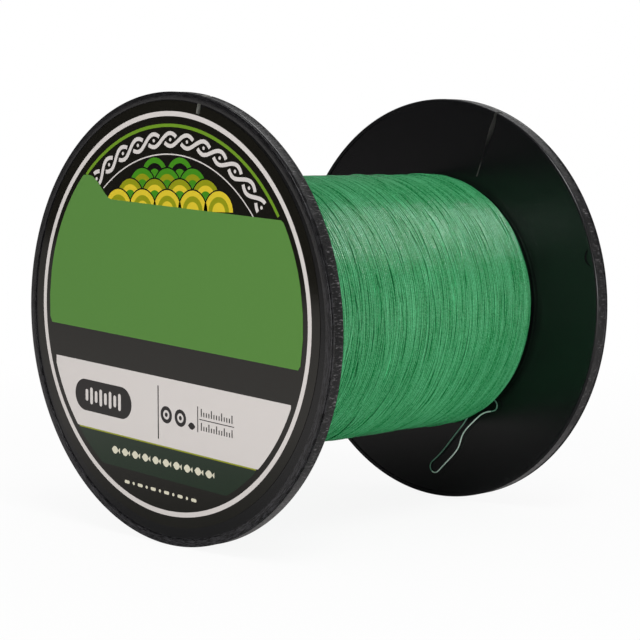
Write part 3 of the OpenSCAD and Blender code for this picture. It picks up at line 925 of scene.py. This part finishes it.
class Print:
    """Thin raised patches of ink on the front label, each between two rows of points.

    Its places are in millimetres from the middle of the label's rings, across and up.
    """

    def __init__(self, lean):
        self.bm = bmesh.new()
        self.lean = lean

    def place(self, x, y, height, leaning):
        """A point of the print in space. Leaning rows fall from left to right; rings don't lean."""
        u, v = (x * math.cos(self.lean), y - x * math.sin(self.lean)) if leaning else (x, y)
        return ((RING_X + u) * MM, -(LABEL_Y + FILM_T + height) * MM, (RING_Z + v) * MM)

    def patch(self, low, high, ink, layer, leaning=True, closed=False):
        """Ink between two rows of points, as a closed solid on the film, higher for a later layer."""
        heights = (-INK_STEP / 2, layer * INK_STEP)
        rows = [[self.bm.verts.new(self.place(x, y, h, leaning)) for x, y in row]
                for row in (low, high) for h in heights]
        low_under, low_top, high_under, high_top = rows
        count = len(low)
        for i in range(count if closed else count - 1):
            j = (i + 1) % count
            for a, b in ((low_top, high_top), (high_under, low_under), (low_under, low_top),
                         (high_top, high_under)):
                self.bm.faces.new((a[i], a[j], b[j], b[i])).material_index = ink
        if not closed:
            for i in (0, count - 1):
                self.bm.faces.new((low_under[i], low_top[i], high_top[i], high_under[i])).material_index = ink

    def band(self, bottom, top, ink, layer):
        """A band from one height to another, or to a function of x, cut to the print's circle."""
        low, high = [], []
        for x in np.linspace(-PRINT_R, PRINT_R, 120):
            middle = x * math.sin(self.lean)
            tall = math.sqrt(max(PRINT_R ** 2 - (x * math.cos(self.lean)) ** 2, 0.0))
            y0 = max(bottom, middle - tall)
            y1 = min(top(x) if callable(top) else top, middle + tall)
            if y1 - y0 > 0.02:
                low.append((x, y0))
                high.append((x, y1))
        self.patch(low, high, ink, layer)

    def sector(self, r0, r1, start, stop, ink, layer, steps=90, centre=(0.0, 0.0), leaning=False):
        """Part of a ring between two radii and two angles in degrees; a full turn closes on itself."""
        full = abs(stop - start) >= 360
        turns = np.radians(np.linspace(start, stop, steps + 1))[:steps if full else None]
        rows = [[(centre[0] + r * math.cos(a), centre[1] + r * math.sin(a)) for a in turns] for r in (r0, r1)]
        self.patch(*rows, ink, layer, leaning, closed=full)

    def shape(self, x, y, reach, ink, layer):
        """A shape alike above and below its middle (x, y), from points of (across, half its height)."""
        self.patch([(x + a, y - b) for a, b in reach], [(x + a, y + b) for a, b in reach], ink, layer)

    def bar(self, x, y, width, tall, ink, layer):
        """An upright bar with its middle at (x, y)."""
        self.shape(x, y, [(-width / 2, tall / 2), (width / 2, tall / 2)], ink, layer)

    def rounded(self, x, y, width, tall, ink, layer, steps=10):
        """A bar with half-round ends, such as a pill."""
        radius = min(width, tall) / 2
        straight = max(tall - width, 0.0) / 2
        half = [(radius * (1 + math.cos(a)), max(straight + radius * math.sin(a), 0.01))
                for a in np.radians(np.linspace(180, 90, steps + 1))]
        reach = half + [(width - a, b) for a, b in half[::-1]]
        if reach[steps][0] == reach[steps + 1][0]:
            reach.pop(steps)
        self.shape(x, y, [(a - width / 2, b) for a, b in reach], ink, layer)

    def lens(self, x, y, width, tall, ink, layer):
        """A pointed oval."""
        self.shape(x, y, [(s * width / 2, tall / 2 * (1 - s * s) + 0.01) for s in np.linspace(-1, 1, 13)],
                   ink, layer)


def rope_border(art):
    """A two-strand twist along the arc over the scales, each strand broken where it runs under."""
    start, stop = math.radians(129.5), math.radians(39.0)
    middle, swing, half, dot_r = 42.3, 1.55, 0.48, 0.42
    # Shares of a twist: the gap in the strand that runs under, and the shortest piece worth drawing
    twists, gap, shortest = 11, 0.16, 0.2
    waves = twists * math.pi
    for strand in (0, 1):
        for k in range(-1, twists):
            gap_before, gap_after = (gap, 0.0) if k % 2 == strand else (0.0, gap)
            a = max((k + 0.5 + gap_before) / twists, 0.0)
            b = min((k + 1.5 - gap_after) / twists, 1.0)
            if b - a < shortest / twists:
                continue
            low, high = [], []
            for share in np.linspace(a, b, 13):
                turn = start + (stop - start) * share
                phase = waves * share + strand * math.pi
                r = middle + swing * math.cos(phase)
                slope = -swing * math.sin(phase) * waves / ((stop - start) * middle)
                normal = 1 / math.hypot(1, slope)
                along = -slope * normal / middle
                for row, sign in ((low, -1), (high, 1)):
                    rr, tt = r + sign * half * normal, turn + sign * half * along
                    row.append((rr * math.cos(tt), rr * math.sin(tt)))
            art.patch(low, high, WHITE, 2, leaning=False)
    for turn in np.linspace(start, stop, twists + 1):
        art.sector(PINHOLE_R, dot_r, 0, 360, WHITE, 2, steps=12,
                   centre=(middle * math.cos(turn), middle * math.sin(turn)))


def fish_scales(art):
    """Rows of fish scales over the green panel, each scale in rings, yellower towards the panel."""
    pitch, radius, rise, middle_r = 9.2, 4.9, 2.7, 0.05
    rows = ((33.1, (-0.5, 0.5), (SCALE_GREEN, INK_BLACK, SCALE_GREEN)),
            (30.5, (-1, 0, 1), (SCALE_GREEN, OLIVE, SCALE_GREEN)),
            (27.9, (-1.5, -0.5, 0.5, 1.5), (OLIVE, YELLOW, SCALE_GREEN)),
            (25.3, (-2, -1, 0, 1, 2), (YELLOW, OLIVE, YELLOW)))
    for level, (height, places, inks) in enumerate(rows):
        for place in places:
            centre = (pitch * place, height)
            art.sector(radius, radius + 0.35, 0, 180, INK_BLACK, 2 + 2 * level, steps=40, centre=centre)
            for ring, ink in enumerate(inks):
                outer = radius - rise * ring / 2
                inner = radius - rise * (ring + 1) / 2 if ring < 2 else middle_r
                art.sector(inner, outer, 0, 180, ink, 2 + 2 * level, steps=40, centre=centre)


def white_panel_marks(art):
    """Plain marks on the white panel: a pill with bars, a rule, two ringed dots and two tick rows."""
    pill_x, pill_y, dot_y = -25.2, -24.1, -24.4
    art.rounded(pill_x, pill_y, 22.3, 8.0, INK_BLACK, 4)
    for k in range(8):
        art.rounded(pill_x + 1.85 * (k - 3.5), pill_y, 1.05, 4.3 if k % 2 else 3.0, WHITE, 5, steps=5)
    art.bar(-3.9, -24.2, 0.4, 13.1, INK_BLACK, 4)
    for x in (-0.9, 4.3):
        for inner, outer, steps in ((1.15, 2.1, 40), (PINHOLE_R, 0.55, 16)):
            art.sector(inner, outer, 0, 360, INK_BLACK, 4, steps=steps, centre=(x, dot_y), leaning=True)
    art.lens(8.4, -25.7, 2.6, 1.7, INK_BLACK, 4)
    art.bar(10.6, -23.7, 0.3, 6.2, INK_BLACK, 4)
    art.bar(17.3, -23.6, 12.2, 0.22, INK_BLACK, 4)
    long_tick, short_tick = 1.9, 1.1
    for row, y in enumerate((-21.9, -25.3)):
        for k in range(13):
            tall = long_tick if k % (4 - row) == 0 else short_tick
            art.bar(11.9 + 0.9 * k, y - (long_tick - tall) / 2, 0.36, tall, INK_BLACK, 4)


def lower_marks(art):
    """A row of small fish on the dark green band, and a row of dashes under it."""
    fish_y, dash_y = -36.3, -43.6
    for k in range(10):
        x = -20.6 + 3.9 * k
        art.lens(x, fish_y, 2.5, 1.9, CREAM, 5)
        art.shape(x, fish_y, [(1.1, 0.02), (1.9, 0.7)], CREAM, 5)
    for k in range(11):
        art.rounded(-16.0 + 2.5 * k, dash_y, 0.8 if k % 2 else 1.9, 0.8, CREAM, 2, steps=4)


def panel_edge(x):
    """The height of the green panel's upper edge, which rises to a horn at the left."""
    swell = min(max((PANEL_HORN_X - x) / PANEL_HORN_W, 0.0), 1.0)
    return PANEL_TOP + PANEL_HORN_H * swell * swell * (3 - 2 * swell)


def film_outline(slit):
    """Outline of the front label's round film with a nick at the slit."""
    cos, sin = math.cos(slit), math.sin(slit)
    half = NICK_W / 2
    reach = math.sqrt(LABEL_R ** 2 - half ** 2)
    nick = [(ahead * cos - side * sin, ahead * sin + side * cos)
            for ahead, side in ((reach, -half), (NICK_R, -half), (NICK_R, half), (reach, half))]
    points = []
    for a in np.linspace(0, math.tau, 240, endpoint=False):
        x, z = LABEL_X + LABEL_R * math.cos(a), LABEL_Z + LABEL_R * math.sin(a)
        points.append((x, z, x * cos + z * sin > 0 and abs(z * cos - x * sin) < half))
    outline = []
    for k, (x, z, in_nick) in enumerate(points):
        if not in_nick:
            outline.append((x, z))
            if points[(k + 1) % len(points)][2]:
                outline += nick
    return outline


class SPOOL_OT_front_label(bpy.types.Operator):
    """Adds the printed label in the front flange's recess"""
    bl_idname = "spool.front_label"
    bl_label = "Front label"

    def execute(self, context):
        label = context.scene.spool_label
        art = Print(label.lean)
        for ring in PRINTED_RINGS:
            art.sector(*ring)
        rope_border(art)
        fish_scales(art)
        art.band(PANEL_BOTTOM, panel_edge, GREEN, 10)
        art.band(WHITE_BOTTOM, WHITE_TOP, WHITE, 3)
        art.band(BAND_BOTTOM, WHITE_BOTTOM - OLIVE_W, DEEP_GREEN, 3)
        art.band(WHITE_BOTTOM - OLIVE_W, WHITE_BOTTOM, OLIVE, 3)
        white_panel_marks(art)
        lower_marks(art)
        outline = film_outline(context.scene.spool_flange.front_slit)
        join_into(art.bm, prism(outline, LABEL_Y, LABEL_Y + FILM_T, 0.0, lambda height: -height))
        mesh = mesh_from_bmesh("front_label_print", art.bm)
        inks = {"black": label.black, "white": label.white, "panel_green": label.green,
                "ring_green": linear("6a9128"), "deep_green": linear("1c2b1e"), "olive": linear("8c9119"),
                "yellow": linear("d5be32"), "scale_green": linear("41871e"), "cream": linear("d6d2bd"),
                "mark_black": linear("161414")}
        materials = [printed_film("laminated_vinyl_" + name, ink,
                                  DULL_FILM if name == "panel_green" else CLEAR_FILM)
                     for name, ink in inks.items()]
        add_piece("front_label_print", mesh, materials, ["front_label"])
        return {"FINISHED"}


class SPOOL_OT_back_label(bpy.types.Operator):
    """Adds the plain label with its printed rings on the back flange"""
    bl_idname = "spool.back_label"
    bl_label = "Back label"

    def execute(self, context):
        radius, top = (node_reach("back_label", axis) for axis in (0, 1))
        hole = BORE_R + 1.5
        soft = (top - LABEL_Y) / 3
        steps = 240
        bm = lathe([(hole, LABEL_Y), (hole, top), (radius - soft, top), (radius, top - soft),
                    (radius, LABEL_Y)], steps)
        black, green = 1, 2
        low, high = top - INK_STEP / 2, top + INK_STEP
        for inner, outer, ink in ((hole + 1.2, hole + 1.8, black), (radius - 3.6, radius - 2.4, green),
                                  (radius - 4.4, radius - 4.1, black)):
            ring = lathe([(inner, low), (inner, high), (outer, high), (outer, low)], steps)
            for face in ring.faces:
                face.material_index = ink
            join_into(bm, ring)
        materials = [printed_film("laminated_paper_" + name, linear(ink), PAPER_FILM)
                     for name, ink in (("plain", "e2e0da"), ("black", "161414"), ("green", "518434"))]
        add_piece("back_label_plain", mesh_from_bmesh("back_label_film", bm), materials,
                  ["back_label"])
        return {"FINISHED"}


# ---------------------------------------------------------------- stage

FLOOR_Z = -FLANGE_R * MM
FLOOR_REACH = 5.0
CENTRE = (0.0, 0.0, 0.0)
# The flag's two ends on the floor and its height, in metres
FLAG_NEAR, FLAG_FAR, FLAG_H = (0.25, -0.234), (-2.6, -1.682), 1.6
KEY_PLACE = (0.50, -0.31, 0.86)
# How bright the white room is for diffuse and for glossy rays, where 1 is blank white
ROOM_DIFFUSE, ROOM_GLOSS = 0.42, 0.2
# Name, place and aim in metres, size in metres, watts, what doesn't see it, and what it reaches alone
LIGHTS = (
    ("key", KEY_PLACE, CENTRE, (0.4, 0.4), 4.45, (), None),
    ("front_fill", (0.2, -1.0, 0.3), CENTRE, (0.7, 0.5), 3.6, (), None),
    ("side_fill", (1.0, -0.5, 0.12), CENTRE, (0.7, 0.25), 2.6, (), None),
    ("back_fill", (-0.75, 1.0, 0.1), CENTRE, (0.7, 0.5), 4.0, ("glossy",), None),
    ("sheen", KEY_PLACE, CENTRE, (0.15, 0.15), 20.0, ("diffuse",), LINE_ONLY),
    ("reflector", (0.12, 0.0, FLOOR_Z + 0.001), (0.12, 0.0, 0.2), (0.2, 0.12), 0.055,
     ("camera", "glossy"), LINE_ONLY),
    ("behind", (-0.3, 0.71, 0.63), CENTRE, (0.4, 0.4), 1.1, ("diffuse", "camera"), FLANGES_ONLY),
)


def put_on_stage(name, data, place=CENTRE, aim=None):
    """Puts a lamp, a camera or a card in the scene, turned so that it faces its aim."""
    made = bpy.data.objects.new(name, data)
    bpy.context.scene.collection.objects.link(made)
    made.location = place
    if aim is not None:
        made.rotation_euler = (Vector(aim) - Vector(place)).to_track_quat("-Z", "Y").to_euler()
    return made


def stage_card(name, corners, material):
    """A flat four-cornered card of the stage."""
    bm = bmesh.new()
    bm.faces.new([bm.verts.new(c) for c in corners])
    mesh = bpy.data.meshes.new(name)
    bm.to_mesh(mesh)
    bm.free()
    mesh.materials.append(material)
    made = put_on_stage(name, mesh)
    return made


def white_room():
    """A world that the camera sees blank white, and that lights and mirrors less than that."""
    world = bpy.data.worlds.new("studio")
    world.use_nodes = True
    tree = world.node_tree
    tree.nodes.clear()
    ray = add(tree, "LightPath")
    dim = add(tree, "Mix", {0: ray.outputs["Is Glossy Ray"], 2: ROOM_DIFFUSE, 3: ROOM_GLOSS})
    bright = add(tree, "Mix", {0: ray.outputs["Is Camera Ray"], 2: dim, 3: 1.0})
    sky = add(tree, "Background", {"Color": linear("ffffff"), "Strength": bright})
    add(tree, "OutputWorld", {"Surface": sky})
    return world


class SPOOL_OT_stage(bpy.types.Operator):
    """Adds the camera, the pale floor and the soft studio light"""
    bl_idname = "spool.stage"
    bl_label = "Stage"

    def execute(self, context):
        stage = context.scene.spool_stage
        flat = stage.distance * math.cos(stage.elevation)
        place = (flat * math.sin(stage.azimuth), -flat * math.cos(stage.azimuth),
                 stage.distance * math.sin(stage.elevation))
        camera = put_on_stage("camera", bpy.data.cameras.new("camera"), place, stage.aim)
        camera.data.lens, camera.data.sensor_width = stage.lens, 36.0
        camera.data.clip_start, camera.data.clip_end = 0.01, 20.0
        context.scene.camera = camera

        quarters = ((-1, -1), (1, -1), (1, 1), (-1, 1))
        corners = [(x * FLOOR_REACH, y * FLOOR_REACH, FLOOR_Z) for x, y in quarters]
        stage_card("floor", corners, paper_white("floor_paper", stage.paper))

        # A dark card in front of the label, seen only by its gloss, as a studio flag is
        near, far = Vector((*FLAG_NEAR, FLOOR_Z)), Vector((*FLAG_FAR, FLOOR_Z))
        tall = Vector((0, 0, FLAG_H))
        flag = stage_card("flag", [near, far, far + tall, near + tall], flag_cloth("flag_black_cloth"))
        flag.visible_camera = flag.visible_diffuse = flag.visible_shadow = False

        context.scene.world = white_room()
        for name, place, aim, size, watts, unseen_by, reaches in LIGHTS:
            lamp = bpy.data.lights.new(name, "AREA")
            lamp.shape = "RECTANGLE"
            lamp.size, lamp.size_y = size
            lamp.energy = watts
            made = put_on_stage(name, lamp, place, aim)
            for rays in unseen_by:
                setattr(made, "visible_" + rays, False)
            if reaches:
                made.light_linking.receiver_collection = lit_alone(reaches)
        context.scene.view_settings.view_transform = "Standard"
        return {"FINISHED"}


# ---------------------------------------------------------------- panel and registration

OPERATORS = (SPOOL_OT_stage, SPOOL_OT_loose_loop, SPOOL_OT_flanges, SPOOL_OT_core, SPOOL_OT_winding,
             SPOOL_OT_front_label, SPOOL_OT_back_label)
SETTINGS = {"spool_flange": SpoolFlangeSettings, "spool_line": SpoolLineSettings,
            "spool_label": SpoolLabelSettings, "spool_stage": SpoolStageSettings}


class SPOOL_PT_panel(bpy.types.Panel):
    """Lists the spool's pieces and the sizes and colours that they start from"""
    bl_idname = "SPOOL_PT_panel"
    bl_label = "Fishing line spool"
    bl_space_type = "VIEW_3D"
    bl_region_type = "UI"
    bl_category = "Spool"

    def draw(self, context):
        for operator in OPERATORS:
            self.layout.operator(operator.bl_idname)
        for name, settings in SETTINGS.items():
            box = self.layout.box()
            for field in settings.__annotations__:
                box.prop(getattr(context.scene, name), field)


def register():
    for item in (*SETTINGS.values(), *OPERATORS, SPOOL_PT_panel):
        bpy.utils.register_class(item)
    for name, settings in SETTINGS.items():
        setattr(bpy.types.Scene, name, bpy.props.PointerProperty(type=settings))


def unregister():
    for name in SETTINGS:
        delattr(bpy.types.Scene, name)
    for item in (SPOOL_PT_panel, *OPERATORS[::-1], *SETTINGS.values()):
        bpy.utils.unregister_class(item)


def main():
    """Adds every piece in order."""
    register()
    for operator in OPERATORS:
        getattr(bpy.ops.spool, operator.bl_idname.split(".")[1])()


if __name__ == "__main__":
    main()
